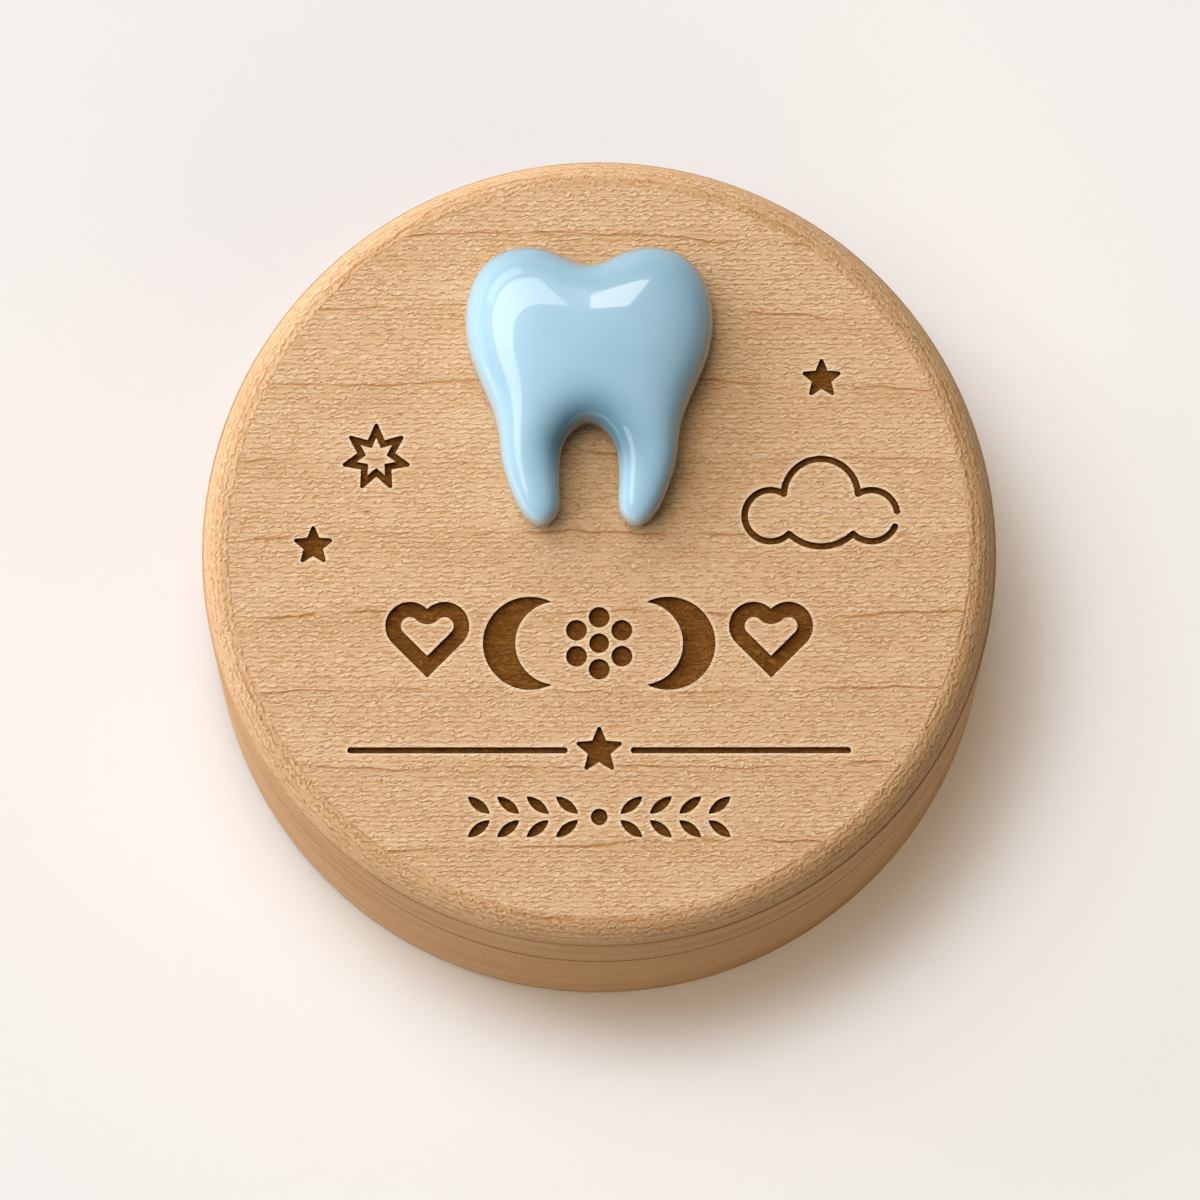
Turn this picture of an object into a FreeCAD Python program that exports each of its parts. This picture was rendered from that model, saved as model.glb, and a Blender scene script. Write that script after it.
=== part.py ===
# Baby tooth box: a turned beech cup with a lift-off lid, a glazed tooth on the lid and a divided tray.
# Millimetres, +Z up, origin at the middle of the face that the box stands on.
import FreeCAD, Part
import math
import os
import re
import Sketcher

Vector = FreeCAD.Vector

# Driving dimensions: name, size, what it measures
SIZES = (
    ("box_diameter", 76.0, "outside of the cup and the lid"),
    ("foot_lift", 0.5, "wood of the cup above the table"),
    ("foot_thickness", 1.5, "felt pad under the cup"),
    ("foot_inset", 8.0, "edge of the foot pad in from the outside"),
    ("floor_thickness", 5.0, "floor of the cup"),
    ("well_depth", 9.5, "floor of the cup up to the ledge that carries the tray"),
    ("tray_height", 10.0, "tray for the teeth"),
    ("tray_recess", 2.6, "top of the tray below the seam"),
    ("spigot_height", 6.0, "rim of the cup above the seam"),
    ("spigot_headroom", 0.4, "gap above the rim inside the lid"),
    ("lid_hollow_depth", 2.2, "hollow of the lid above the rim's socket"),
    ("lid_top_thickness", 5.6, "top of the lid above its hollow"),
    ("skirt_thickness", 3.1, "wall of the lid outside the rim"),
    ("lid_clearance", 0.2, "radial gap between the rim and the lid"),
    ("spigot_thickness", 4.9, "wall of the rim"),
    ("spigot_lead", 0.5, "chamfer on the rim"),
    ("ledge_width", 2.6, "ledge that carries the tray"),
    ("lid_hollow_inset", 0.8, "wall of the lid's hollow in from the rim's bore"),
    ("base_round", 1.0, "rounding of the cup's bottom edge"),
    ("seam_round", 0.3, "rounding of both edges at the seam"),
    ("edge_round", 2.5, "rounding of the lid's top edge"),
    ("edge_land", 0.15, "upright strip under the rounding"),
    ("edge_step", 0.15, "ledge under the rounding"),
    ("lining_thickness", 1.2, "felt discs inside"),
    ("felt_clearance", 0.25, "radial gap round every felt disc"),
    ("tray_clearance", 0.3, "radial gap round the tray"),
    ("tray_edge_round", 0.5, "rounding of the tray's edges"),
    ("tray_floor_thickness", 2.0, "floor of the tray"),
    ("tray_wall", 2.4, "ring wall of the tray"),
    ("partition_count", 10, "partitions of the tray"),
    ("partition_thickness", 1.8, "partition of the tray"),
    ("partition_drop", 1.0, "top of a partition below the top of the tray"),
    ("hub_diameter", 10.0, "foot of the tray knob, which the partitions meet"),
    ("knob_diameter", 7.0, "head of the tray knob"),
    ("knob_neck_diameter", 4.4, "neck of the tray knob"),
    ("knob_headroom", 2.5, "gap from the knob to the lid's lining"),
    ("tenon_diameter", 3.0, "peg of the knob in the tray"),
    ("glue_gap", 0.05, "gap round glued pegs and dowels"),
    ("magnet_diameter", 3.0, "disc magnet"),
    ("magnet_thickness", 2.0, "disc magnet"),
    ("magnet_clearance", 0.05, "gap round a magnet"),
    ("magnet_count", 4, "magnets in the rim, and in the lid"),
    ("tooth_width", 23.7, "tooth ornament across its crown"),
    ("tooth_height", 26.85, "tooth ornament from root tips to crown"),
    ("tooth_thickness", 6.4, "tooth ornament at its highest"),
    ("tooth_dome_radius", 40.0, "crown of the tooth's face"),
    ("tooth_dome_rise", 16.5, "highest point of the face above the root tips"),
    ("tooth_shift", -0.95, "axis of the tooth from the middle of the lid"),
    ("tooth_tip_y", 2.0, "root tips from the middle of the lid"),
    ("dowel_diameter", 3.0, "dowel between the tooth and the lid"),
    ("dowel_spacing", 11.0, "between the two dowels"),
    ("dowel_rise", 18.0, "dowels above the root tips"),
    ("dowel_in_tooth", 3.0, "length of a dowel in the tooth"),
    ("dowel_cover", 1.8, "wood of the lid under a dowel"),
    ("engraving_depth", 0.7, "all ornaments cut in the lid"),
    ("star_span", 4.5, "small star, tip circle before rounding"),
    ("star_tip_round", 0.2, "tips of all stars"),
    ("left_star_x", -27.3, "small star at the left"),
    ("left_star_y", 0.3, "small star at the left"),
    ("right_star_x", 21.3, "small star at the right"),
    ("right_star_y", 16.45, "small star at the right"),
    ("burst_span", 7.2, "outlined star, tip circle before rounding"),
    ("burst_stroke", 0.66, "line of the outlined star"),
    ("burst_x", -21.3, "outlined star"),
    ("burst_y", 8.85, "outlined star"),
    ("cloud_x", 21.2, "middle of the cloud"),
    ("cloud_y", 3.2, "middle of the cloud's side bumps"),
    ("cloud_stroke", 0.64, "line of the cloud"),
    ("dome_radius", 3.55, "top bump of the cloud"),
    ("dome_rise", 1.95, "top bump above the side bumps"),
    ("bump_radius", 2.48, "side bumps of the cloud"),
    ("bump_reach", 4.82, "side bumps out from the middle"),
    ("belly_radius", 4.47, "bottom bump of the cloud"),
    ("belly_rise", 1.5, "centre of the bottom bump above the side bumps"),
    ("divider_y", -19.4, "divider lines and their star"),
    ("divider_inner", 3.3, "inner end of a divider line from the middle"),
    ("divider_outer", 23.7, "outer end of a divider line from the middle"),
    ("divider_stroke", 0.6, "divider line"),
    ("divider_star_span", 5.2, "star between the divider lines, tip circle before rounding"),
    ("motif_row_y", -9.1, "row of large motifs"),
    ("heart_x", 16.4, "hearts out from the middle"),
    ("heart_lobe", 2.35, "radius of a heart's lobes"),
    ("heart_stroke", 1.5, "line of a heart"),
    ("crescent_x", 6.6, "crescents out from the middle"),
    ("crescent_radius", 4.5, "outside of a crescent"),
    ("crescent_bite", 2.6, "centre of the crescent's inside from its outside"),
    ("flower_ring", 2.5, "petals from the middle of the flower"),
    ("petal_radius", 1.0, "petal"),
    ("flower_core_radius", 0.95, "middle of the flower"),
    ("leaf_row_y", -25.8, "row of leaves"),
    ("leaf_start", 2.0, "first leaf from the middle of the row"),
    ("leaf_pitch", 2.8, "from leaf to leaf"),
    ("leaf_length", 2.7, "leaf"),
    ("leaf_width", 1.0, "leaf"),
    ("leaf_gap", 0.3, "foot of a leaf from the line of the row"),
    ("leaf_count", 4, "leaves in a run"),
    ("bead_radius", 0.8, "bead in the middle of the leaves"),
)

# Heights and radii that follow from the driving dimensions
OUTSIDE = "(box_diameter / 2)"
FLOOR_Z = "(foot_lift + floor_thickness)"
LEDGE_Z = f"({FLOOR_Z} + well_depth)"
TRAY_TOP_Z = f"({LEDGE_Z} + tray_height)"
SEAM_Z = f"({TRAY_TOP_Z} + tray_recess)"
RIM_Z = f"({SEAM_Z} + spigot_height)"
SOCKET_HEIGHT = "(spigot_height + spigot_headroom)"
HOLLOW_HEIGHT = f"({SOCKET_HEIGHT} + lid_hollow_depth)"
LID_HEIGHT = f"({HOLLOW_HEIGHT} + lid_top_thickness)"
LID_TOP_Z = f"({SEAM_Z} + {LID_HEIGHT})"
KNOB_HEIGHT = f"(tray_recess + {HOLLOW_HEIGHT} - lining_thickness - knob_headroom)"
SPIGOT_RADIUS = f"({OUTSIDE} - skirt_thickness - lid_clearance)"
LID_BORE_RADIUS = f"({OUTSIDE} - skirt_thickness)"
SEAT_RADIUS = f"({SPIGOT_RADIUS} - spigot_thickness)"
WELL_RADIUS = f"({SEAT_RADIUS} - ledge_width)"
HOLLOW_RADIUS = f"({SEAT_RADIUS} - lid_hollow_inset)"
TRAY_RADIUS = f"({SEAT_RADIUS} - tray_clearance)"
FOOT_RADIUS = f"({OUTSIDE} - foot_inset)"
MAGNET_RING = f"(({SPIGOT_RADIUS} + {SEAT_RADIUS}) / 2)"
MAGNET_HOLE_RADIUS = "(magnet_diameter / 2 + magnet_clearance)"
MAGNET_HOLE_DEPTH = "(magnet_thickness + magnet_clearance)"
TRAY_BORE_RADIUS = f"({TRAY_RADIUS} - tray_wall)"
DOWEL_HOLE_RADIUS = "(dowel_diameter / 2 + glue_gap)"
DOWEL_IN_LID = "(lid_top_thickness - dowel_cover)"

# Right half of the tooth, from the dip between the cusps down to the fork of the roots. Each pair is a
# point of the outline and the point of the ridge above it, as shares of the half width and the height.
TOOTH_HALF = (
    ((0.000, 0.935), (0.000, 0.70)), ((0.245, 0.974), (0.160, 0.72)), ((0.515, 1.000), (0.340, 0.74)),
    ((0.790, 0.959), (0.420, 0.74)), ((0.950, 0.860), (0.480, 0.72)), ((1.000, 0.737), (0.500, 0.68)),
    ((0.962, 0.615), (0.490, 0.60)), ((0.810, 0.447), (0.470, 0.46)), ((0.738, 0.346), (0.475, 0.34)),
    ((0.705, 0.231), (0.470, 0.23)), ((0.624, 0.119), (0.440, 0.14)), ((0.496, 0.036), (0.415, 0.10)),
    ((0.376, 0.000), (0.395, 0.09)), ((0.274, 0.036), (0.385, 0.10)), ((0.236, 0.112), (0.390, 0.14)),
    ((0.232, 0.231), (0.410, 0.23)), ((0.180, 0.308), (0.360, 0.38)), ((0.000, 0.365), (0.000, 0.52)),
)

# Levels of the tooth: share of its thickness, and how far the outline is drawn in to the ridge there
TOOTH_LEVELS = (
    (0.0, 0.07), (0.10, 0.015), (0.25, 0.0), (0.50, 0.03), (0.74, 0.13), (0.91, 0.32), (1.0, 0.62),
)

# Shapes of the ornaments, as plain ratios, counts and angles in degrees
STAR_POINTS = 5
STAR_NOTCH = 0.44
BURST_POINTS = 7
BURST_NOTCH = 0.52
CLOUD_GAP_ANGLES = (-25.0, 10.0)
CRESCENT_TIP_ANGLE = 62.0
PETALS = 6
LEAF_ANGLE = 38.0

doc = FreeCAD.newDocument("tooth_box")
sheet = doc.addObject("Spreadsheet::Sheet", "Sizes")


def fill_sheet():
    """Write the driving dimensions into the sheet."""
    for row, (name, number, note) in enumerate(SIZES, start=1):
        sheet.set(f"A{row}", note)
        sheet.set(f"B{row}", str(number))
        sheet.setAlias(f"B{row}", name)
    doc.recompute()


def value(text):
    """Number that a formula of sheet names gives."""
    result = sheet.evalExpression(text)
    return float(getattr(result, "Value", result))


def bind(thing, prop, text):
    """Tie a property to a formula of sheet names."""
    thing.setExpression(prop, re.sub(r"[a-z]+(?:_[a-z]+)+", r"Sizes.\g<0>", text))


# Sketches
def add_body(label):
    """Empty body of one sub-part."""
    body = doc.addObject("PartDesign::Body", label)
    body.Label = label
    return body


def add_sketch(body, name, plane, place=("0", "0", "0")):
    """Sketch on one of the body's own origin planes, shifted by formulas."""
    sketch = body.newObject("Sketcher::SketchObject", name)
    support = next(item for item in body.Origin.OriginFeatures if item.Role == plane)
    sketch.AttachmentSupport = [(support, "")]
    sketch.MapMode = "FlatFace"
    for axis, text in zip("xyz", place):
        bind(sketch, f"AttachmentOffset.Base.{axis}", text)
    return sketch


def fix_distance(sketch, kind, geometry, point, text):
    """Tie one coordinate of a sketch point to a formula."""
    if text == "0":
        axis = -2 if kind == "DistanceX" else -1
        sketch.addConstraint(Sketcher.Constraint("PointOnObject", geometry, point, axis))
        return
    constraint = Sketcher.Constraint(kind, -1, 1, geometry, point, value(text))
    bind(sketch, f"Constraints[{sketch.addConstraint(constraint)}]", text)


def fix_point(sketch, geometry, point, x, y):
    """Tie both coordinates of a sketch point to formulas."""
    fix_distance(sketch, "DistanceX", geometry, point, x)
    fix_distance(sketch, "DistanceY", geometry, point, y)


def add_circle(sketch, x, y, radius):
    """Circle with its centre and radius tied to formulas."""
    centre = Vector(value(x), value(y), 0)
    circle = sketch.addGeometry(Part.Circle(centre, Vector(0, 0, 1), value(radius)))
    fix_point(sketch, circle, 3, x, y)
    index = sketch.addConstraint(Sketcher.Constraint("Radius", circle, value(radius)))
    bind(sketch, f"Constraints[{index}]", radius)


def add_arc(sketch, start, finish, centre_x, centre_y, turn):
    """Arc between two points, whose centre is tied by the coordinate that settles it best."""
    centre = Vector(value(centre_x), value(centre_y), 0)
    ends = (start, finish) if turn == "ccw" else (finish, start)
    angles = [math.atan2(end.y - centre.y, end.x - centre.x) for end in ends]
    circle = Part.Circle(centre, Vector(0, 0, 1), (start - centre).Length)
    arc = sketch.addGeometry(Part.ArcOfCircle(circle, *angles))
    chord = finish - start
    if abs(chord.y) >= abs(chord.x):
        fix_distance(sketch, "DistanceX", arc, 3, centre_x)
    else:
        fix_distance(sketch, "DistanceY", arc, 3, centre_y)
    return arc


def closed_path(sketch, steps):
    """Closed outline. A step (x, y) goes straight to the next one, and a step
    (x, y, centre x, centre y, turn) goes there along an arc."""
    corners = [Vector(value(step[0]), value(step[1]), 0) for step in steps]
    edges = []
    for step, start, finish in zip(steps, corners, corners[1:] + corners[:1]):
        if len(step) == 2:
            edges.append((sketch.addGeometry(Part.LineSegment(start, finish)), 1, 2))
            continue
        arc = add_arc(sketch, start, finish, *step[2:])
        edges.append((arc, 1, 2) if step[4] == "ccw" else (arc, 2, 1))
    for step, edge, following in zip(steps, edges, edges[1:] + edges[:1]):
        joined = Sketcher.Constraint("Coincident", edge[0], edge[2], following[0], following[1])
        sketch.addConstraint(joined)
        fix_point(sketch, edge[0], edge[1], step[0], step[1])


# Features
def revolve(body, sketch):
    """Turn a section in the XZ plane about the upright axis."""
    turned = body.newObject("PartDesign::Revolution", f"{sketch.Name}_turned")
    turned.Profile = sketch
    turned.ReferenceAxis = (sketch, ["V_Axis"])
    turned.Angle = 360
    doc.recompute()


def pocket(body, sketch, depth, upward=False):
    """Cut a sketch into the body and make sure that it took something away."""
    before = body.Shape.Volume
    cut = body.newObject("PartDesign::Pocket", f"{sketch.Name}_cut")
    cut.Profile = sketch
    cut.Reversed = upward
    bind(cut, "Length", depth)
    doc.recompute()
    if body.Shape.Volume >= before:
        raise RuntimeError(f"{cut.Name} cuts nothing")
    return cut


def polar_pattern(body, feature, sketch, count):
    """Repeat a feature round the upright axis of its sketch."""
    pattern = body.newObject("PartDesign::PolarPattern", f"{feature.Name}_ring")
    pattern.Originals = [feature]
    pattern.Axis = (sketch, ["N_Axis"])
    pattern.Angle = 360
    pattern.Occurrences = count
    body.Tip = pattern
    doc.recompute()


def linear_pattern(body, feature, sketch, count, pitch, reverse):
    """Repeat a feature along the X axis of its sketch."""
    pattern = body.newObject("PartDesign::LinearPattern", f"{feature.Name}_run")
    pattern.Originals = [feature]
    pattern.Direction = (sketch, ["H_Axis"])
    pattern.Reversed = reverse
    pattern.Mode = "Spacing"
    pattern.Occurrences = count
    bind(pattern, "Offset", pitch)
    body.Tip = pattern
    doc.recompute()


def add_cylinder(name, radius, height, place=("0", "0", "0")):
    """Upright cylinder with its sizes and place tied to formulas."""
    cylinder = doc.addObject("Part::Cylinder", name)
    cylinder.Label = name
    bind(cylinder, "Radius", radius)
    bind(cylinder, "Height", height)
    for axis, text in zip("xyz", place):
        bind(cylinder, f"Placement.Base.{axis}", text)
    return cylinder


def add_group(label, solids):
    """One node of several separate solids."""
    group = doc.addObject("Part::Compound", label)
    group.Label = label
    group.Links = solids
    return group


def magnet_pockets(body, height, upward):
    """Ring of blind holes for the magnets."""
    sketch = add_sketch(body, f"{body.Name}_magnet", "XY_Plane", ("0", "0", height))
    add_circle(sketch, MAGNET_RING, "0", MAGNET_HOLE_RADIUS)
    hole = pocket(body, sketch, MAGNET_HOLE_DEPTH, upward)
    polar_pattern(body, hole, sketch, int(value("magnet_count")))


# Cup and its felts
def base_cup():
    """Turned cup with a foot recess, a floor, a ledge for the tray and a rim for the lid."""
    body = add_body("base_cup")
    section = add_sketch(body, "cup_section", "XZ_Plane")
    closed_path(section, [
        ("0", "foot_thickness"),
        (f"{FOOT_RADIUS} + felt_clearance", "foot_thickness"),
        (f"{FOOT_RADIUS} + felt_clearance", "foot_lift"),
        (f"{OUTSIDE} - base_round", "foot_lift",
         f"{OUTSIDE} - base_round", "foot_lift + base_round", "ccw"),
        (OUTSIDE, "foot_lift + base_round"),
        (OUTSIDE, f"{SEAM_Z} - seam_round",
         f"{OUTSIDE} - seam_round", f"{SEAM_Z} - seam_round", "ccw"),
        (f"{OUTSIDE} - seam_round", SEAM_Z),
        (SPIGOT_RADIUS, SEAM_Z),
        (SPIGOT_RADIUS, f"{RIM_Z} - spigot_lead"),
        (f"{SPIGOT_RADIUS} - spigot_lead", RIM_Z),
        (f"{SEAT_RADIUS} + spigot_lead", RIM_Z),
        (SEAT_RADIUS, f"{RIM_Z} - spigot_lead"),
        (SEAT_RADIUS, LEDGE_Z),
        (WELL_RADIUS, LEDGE_Z),
        (WELL_RADIUS, FLOOR_Z),
        ("0", FLOOR_Z),
    ])
    revolve(body, section)
    magnet_pockets(body, RIM_Z, upward=False)
    return body


def felt_discs():
    """Foot pad, lining of the well and lining of the lid."""
    ceiling = f"{SEAM_Z} + {HOLLOW_HEIGHT} - lining_thickness"
    return [
        add_cylinder("foot_pad", FOOT_RADIUS, "foot_thickness"),
        add_cylinder("floor_lining", f"{WELL_RADIUS} - felt_clearance", "lining_thickness",
                     ("0", "0", FLOOR_Z)),
        add_cylinder("lid_lining", f"{HOLLOW_RADIUS} - felt_clearance", "lining_thickness",
                     ("0", "0", ceiling)),
    ]


def magnets():
    """Magnets flush with the rim, and their partners above them in the lid."""
    count = int(value("magnet_count"))
    groups = []
    for label, height in (("rim_magnets", f"{RIM_Z} - magnet_thickness"),
                          ("lid_magnets", f"{SEAM_Z} + {SOCKET_HEIGHT}")):
        discs = []
        for number in range(count):
            angle = 360.0 * number / count
            place = (f"{MAGNET_RING} * cos({angle})", f"{MAGNET_RING} * sin({angle})", height)
            discs.append(add_cylinder(f"{label}_{number}", "magnet_diameter / 2",
                                      "magnet_thickness", place))
        groups.append(add_group(label, discs))
    return groups


# Tray
def tray_floor():
    """Turned disc with a hole for the peg of the knob."""
    body = add_body("tray_floor")
    hole = "tenon_diameter / 2 + glue_gap"
    round_start = f"{TRAY_RADIUS} - tray_edge_round"
    section = add_sketch(body, "tray_floor_section", "XZ_Plane")
    closed_path(section, [
        (hole, "0"),
        (round_start, "0", round_start, "tray_edge_round", "ccw"),
        (TRAY_RADIUS, "tray_edge_round"),
        (TRAY_RADIUS, "tray_floor_thickness"),
        (hole, "tray_floor_thickness"),
    ])
    revolve(body, section)
    bind(body, "Placement.Base.z", LEDGE_Z)
    return body


def tray_ring():
    """Turned wall of the tray with both its upper edges rounded."""
    body = add_body("tray_ring")
    round_z = "tray_height - tray_edge_round"
    section = add_sketch(body, "tray_ring_section", "XZ_Plane")
    closed_path(section, [
        (TRAY_BORE_RADIUS, "tray_floor_thickness"),
        (TRAY_RADIUS, "tray_floor_thickness"),
        (TRAY_RADIUS, round_z, f"{TRAY_RADIUS} - tray_edge_round", round_z, "ccw"),
        (f"{TRAY_RADIUS} - tray_edge_round", "tray_height"),
        (f"{TRAY_BORE_RADIUS} + tray_edge_round", "tray_height",
         f"{TRAY_BORE_RADIUS} + tray_edge_round", round_z, "ccw"),
        (TRAY_BORE_RADIUS, round_z),
    ])
    revolve(body, section)
    bind(body, "Placement.Base.z", LEDGE_Z)
    return body


def tray_partitions():
    """Upright strips on the floor of the tray, from the foot of the knob out to the ring."""
    count = int(value("partition_count"))
    inner = "(hub_diameter / 2 + glue_gap)"
    outer = f"(sqrt({TRAY_BORE_RADIUS} ^ 2 - partition_thickness ^ 2 / 4) - glue_gap)"
    strips = []
    for number in range(count):
        angle = 360.0 * number / count
        strip = doc.addObject("Part::Box", f"partition_{number}")
        strip.Placement.Rotation = FreeCAD.Rotation(Vector(0, 0, 1), angle)
        bind(strip, "Length", f"{outer} - {inner}")
        bind(strip, "Width", "partition_thickness")
        bind(strip, "Height", "tray_height - tray_floor_thickness - partition_drop")
        bind(strip, "Placement.Base.x", f"{inner} * cos({angle}) + partition_thickness / 2 * sin({angle})")
        bind(strip, "Placement.Base.y", f"{inner} * sin({angle}) - partition_thickness / 2 * cos({angle})")
        bind(strip, "Placement.Base.z", f"{LEDGE_Z} + tray_floor_thickness")
        strips.append(strip)
    return add_group("tray_partitions", strips)


def tray_knob():
    """Turned knob with a peg, a foot that the partitions meet, a waisted neck and a round head."""
    body = add_body("tray_knob")
    peg = "tenon_diameter / 2"
    foot = "hub_diameter / 2"
    neck = "knob_neck_diameter / 2"
    head = "knob_diameter / 2"
    top = f"tray_height + {KNOB_HEIGHT}"
    head_centre = f"{top} - {head}"
    section = add_sketch(body, "knob_section", "XZ_Plane")
    closed_path(section, [
        ("0", "glue_gap"),
        (peg, "glue_gap"),
        (peg, "tray_floor_thickness"),
        (foot, "tray_floor_thickness"),
        (foot, "tray_height - tray_edge_round",
         f"{foot} - tray_edge_round", "tray_height - tray_edge_round", "ccw"),
        (f"{foot} - tray_edge_round", "tray_height"),
        (neck, "tray_height"),
        (neck, f"{head_centre} - sqrt(({head}) ^ 2 - ({neck}) ^ 2)", "0", head_centre, "ccw"),
        ("0", top),
    ])
    revolve(body, section)
    bind(body, "Placement.Base.z", LEDGE_Z)
    return body


# Ornaments cut in the lid
def star_path(span, points, notch, tip_round=None, inset="0"):
    """Star about the origin with one tip up, its tips rounded and its sides drawn in as asked."""
    turn = math.pi / points
    half_tip = math.atan2(notch * math.sin(turn), 1 - notch * math.cos(turn))
    tip_reach = f"({span} / 2 - {inset} / {math.sin(half_tip)})"
    notch_reach = f"({span} / 2 * {notch} - {inset} / {math.sin(half_tip + turn)})"
    flank = 90.0 - math.degrees(half_tip)
    steps = []
    for corner in range(2 * points):
        angle = 90.0 + corner * 180.0 / points
        if corner % 2:
            steps.append((f"{notch_reach} * cos({angle})", f"{notch_reach} * sin({angle})"))
        elif tip_round is None:
            steps.append((f"{tip_reach} * cos({angle})", f"{tip_reach} * sin({angle})"))
        else:
            core = f"({tip_reach} - {tip_round} / {math.sin(half_tip)})"
            x, y = f"{core} * cos({angle})", f"{core} * sin({angle})"
            first, last = [(f"{x} + {tip_round} * cos({side})", f"{y} + {tip_round} * sin({side})")
                           for side in (angle - flank, angle + flank)]
            steps += [(*first, x, y, "ccw"), last]
    return steps


def slot_path(x_start, x_end, stroke):
    """Straight stroke along X with round ends."""
    half = f"{stroke} / 2"
    return [
        (x_start, f"-{half}"),
        (x_end, f"-{half}", x_end, "0", "ccw"),
        (x_end, half),
        (x_start, half, x_start, "0", "ccw"),
    ]


def arc_slot_path(centre_x, centre_y, radius, stroke, start, finish):
    """Stroke with round ends along an arc, counterclockwise from one angle to the other."""
    def on_arc(offset, angle):
        reach = f"({radius} + {offset})"
        return f"{centre_x} + {reach} * cos({angle})", f"{centre_y} + {reach} * sin({angle})"
    outer = f"{stroke} / 2"
    inner = f"-{stroke} / 2"
    return [
        (*on_arc(outer, start), centre_x, centre_y, "ccw"),
        (*on_arc(outer, finish), *on_arc("0", finish), "ccw"),
        (*on_arc(inner, finish), centre_x, centre_y, "cw"),
        (*on_arc(inner, start), *on_arc("0", start), "ccw"),
    ]


def heart_path(lobe):
    """Heart about the origin: a square on its corner with two round lobes."""
    side = f"{lobe} / sqrt(2)"
    corner = f"sqrt(2) * {lobe}"
    return [
        ("0", f"-{corner}"),
        (corner, "0", side, side, "ccw"),
        ("0", corner, f"-{side}", side, "ccw"),
        (f"-{corner}", "0"),
    ]


def heart_inside_path(lobe, stroke):
    """The same heart drawn in by a stroke, with a round nose under its dip."""
    side = f"{lobe} / sqrt(2)"
    corner = f"sqrt(2) * {lobe}"
    reach = f"({lobe} - {stroke}) / sqrt(2)"
    return [
        ("0", f"-2 * {reach}"),
        (f"{side} + {reach}", f"{side} - {reach}", side, side, "ccw"),
        (f"{side} - {reach}", f"{side} + {reach}", "0", corner, "cw"),
        (f"{reach} - {side}", f"{side} + {reach}", f"-{side}", side, "ccw"),
        (f"-{side} - {reach}", f"{side} - {reach}"),
    ]


def crescent_path(radius, bite, side):
    """Crescent about the origin that opens to the given side, 1 for right and -1 for left."""
    tip_x = f"{side} * {radius} * cos({CRESCENT_TIP_ANGLE})"
    tip_y = f"{radius} * sin({CRESCENT_TIP_ANGLE})"
    outer_turn = "ccw" if side > 0 else "cw"
    inner_turn = "cw" if side > 0 else "ccw"
    return [
        (tip_x, tip_y, "0", "0", outer_turn),
        (tip_x, f"-{tip_y}", f"{side} * {bite}", "0", inner_turn),
    ]


def leaf_path(x, y, angle):
    """Pointed leaf that grows from a point at an angle."""
    along = (math.cos(math.radians(angle)), math.sin(math.radians(angle)))
    across = (-along[1], along[0])
    bow = "((leaf_length ^ 2 / 4 - leaf_width ^ 2 / 4) / leaf_width)"
    middle = (f"{x} + leaf_length / 2 * {along[0]}", f"{y} + leaf_length / 2 * {along[1]}")
    tip = (f"{x} + leaf_length * {along[0]}", f"{y} + leaf_length * {along[1]}")
    left = [f"{middle[axis]} + {bow} * {across[axis]}" for axis in range(2)]
    right = [f"{middle[axis]} - {bow} * {across[axis]}" for axis in range(2)]
    return [(x, y, *left, "ccw"), (*tip, *right, "ccw")]


def crossing_angles(first, second):
    """Angles, seen from the first circle's centre, at which a second circle crosses it."""
    (x_first, y_first, r_first), (x_second, y_second, r_second) = first, second
    gap = math.hypot(x_second - x_first, y_second - y_first)
    towards = math.degrees(math.atan2(y_second - y_first, x_second - x_first))
    opening = math.degrees(math.acos((gap ** 2 + r_first ** 2 - r_second ** 2) / (2 * gap * r_first)))
    return towards - opening, towards + opening


def cloud_strokes():
    """Strokes of the cloud: each bump from where its neighbours cross it, with a gap at the right."""
    names = {
        "dome": ("0", "dome_rise", "dome_radius"),
        "left": ("-bump_reach", "0", "bump_radius"),
        "right": ("bump_reach", "0", "bump_radius"),
        "belly": ("0", "belly_rise", "belly_radius"),
    }
    circle = {name: [value(text) for text in texts] for name, texts in names.items()}
    gap_start, gap_end = CLOUD_GAP_ANGLES
    spans = {
        "cloud_dome": ("dome", crossing_angles(circle["dome"], circle["right"])[1],
                       crossing_angles(circle["dome"], circle["left"])[0]),
        "cloud_left": ("left", crossing_angles(circle["left"], circle["dome"])[1],
                       360.0 + crossing_angles(circle["left"], circle["belly"])[0]),
        "cloud_belly": ("belly", crossing_angles(circle["belly"], circle["left"])[1],
                        360.0 + crossing_angles(circle["belly"], circle["right"])[0]),
        "cloud_upper": ("right", gap_end, crossing_angles(circle["right"], circle["dome"])[0]),
        "cloud_lower": ("right", crossing_angles(circle["right"], circle["belly"])[1] - 360.0, gap_start),
    }
    return {stroke: (*names[bump], start, finish) for stroke, (bump, start, finish) in spans.items()}


def engrave(body, name, x, y, *paths):
    """Cut closed paths about a point into the top of the lid."""
    sketch = add_sketch(body, name, "XY_Plane", (x, y, LID_HEIGHT))
    for path in paths:
        closed_path(sketch, path)
    return sketch, pocket(body, sketch, "engraving_depth")


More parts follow.
